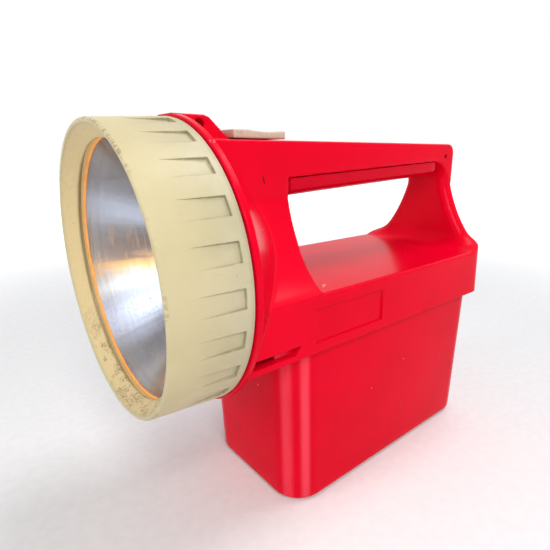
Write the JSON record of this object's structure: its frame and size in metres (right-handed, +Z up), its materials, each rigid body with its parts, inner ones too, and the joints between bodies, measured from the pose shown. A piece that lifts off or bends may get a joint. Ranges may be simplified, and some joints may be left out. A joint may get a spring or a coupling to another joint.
{
  "type": "battery torch",
  "caption": "Lantern torch with a deep battery case under a handled upper housing, a slide switch and a wide round lamp head in a screwed bezel ring.",
  "frame": {"origin": "centre of the flat boss under the battery case, level with its four feet, on the surface that the torch stands on", "axes": "+Z up, the beam leaves along -Y, the handle runs along Y, and X is across the case; the part is symmetric about X = 0 apart from the contact blades"},
  "size_m": [0.115, 0.2067, 0.1771],
  "materials": {
    "red_plastic": "glossy moulded plastic with fine scratches and flecks",
    "cream_plastic": "aged cream plastic, half gloss, yellowed and speckled with dirt",
    "pink_cream_plastic": "aged pinkish cream plastic, worn dull",
    "clear_lens": "clear and polished",
    "gasket_rubber": "matt rubber",
    "foot_rubber": "matt rubber",
    "reflector_metal": "bright spun aluminium with turning lines",
    "contact_brass": "rolled sheet, slightly dulled",
    "screw_steel": "zinc plated",
    "fibre_board": "laminated fibre board",
    "black_plastic": "moulded, matt",
    "cell_jacket": "painted metal jacket with no print",
    "bulb_glass": "clear blown glass"
  },
  "bodies": {
    "case": {"battery_case": "red_plastic", "foot_1": "foot_rubber", "foot_2": "foot_rubber", "foot_3": "foot_rubber", "foot_4": "foot_rubber", "battery_cell_1": "cell_jacket", "battery_cell_2": "cell_jacket", "battery_cell_3": "cell_jacket", "battery_cell_4": "cell_jacket", "battery_cell_5": "cell_jacket", "battery_cell_6": "cell_jacket", "battery_cell_7": "cell_jacket", "battery_cell_8": "cell_jacket", "bottom_plate_front": "contact_brass", "bottom_plate_rear": "contact_brass", "top_plate_plus": "contact_brass", "top_plate_link": "contact_brass", "top_plate_minus": "contact_brass", "contact_board": "fibre_board", "plus_strip": "contact_brass", "minus_strip": "contact_brass", "board_screw_front": "screw_steel", "board_screw_rear": "screw_steel"},
    "housing": {"upper_housing": "red_plastic", "grip_insert": "red_plastic", "grip_screw_front": "screw_steel", "grip_screw_rear": "screw_steel", "blade_carrier": "black_plastic", "carrier_screw_left": "screw_steel", "carrier_screw_right": "screw_steel", "lamp_blade": "contact_brass", "sleeve_blade": "contact_brass", "feed_blade": "contact_brass", "switch_base": "fibre_board", "switch_screw_front": "screw_steel", "switch_screw_rear": "screw_steel"},
    "slider": {"switch_slider": "pink_cream_plastic", "switch_shuttle": "black_plastic", "switch_bridge": "contact_brass"},
    "lamp": {"lens": "clear_lens", "lens_gasket": "gasket_rubber", "reflector": "reflector_metal", "bulb_holder": "black_plastic", "bulb_sleeve": "contact_brass", "bulb_cap": "contact_brass", "bulb_tip": "screw_steel", "bulb_glass": "bulb_glass"},
    "bezel": {"bezel_ring": "cream_plastic"}
  },
  "joints": [
    {"name": "housing_tilt", "type": "hinge", "parent": "case", "child": "housing", "pos_m": [0, -0.0742, 0.08485], "axis": [1, 0, 0], "range_deg": [0, 8]},
    {"name": "switch_slide", "type": "slide", "parent": "housing", "child": "slider", "axis": [0, 1, 0], "range_m": [0, 0.008]},
    {"name": "lamp_advance", "type": "slide", "parent": "housing", "child": "lamp", "axis": [0, -1, 0], "range_m": [0, 0.004]},
    {"name": "bezel_turn", "type": "hinge", "parent": "lamp", "child": "bezel", "pos_m": [0, -0.1015, 0.1196], "axis": [0, -1, 0], "range_deg": [0, 360]}
  ],
  "couplings": [
    {"joint": "lamp_advance", "follows": "bezel_turn", "m_per_rad": 0.00063662}
  ]
}
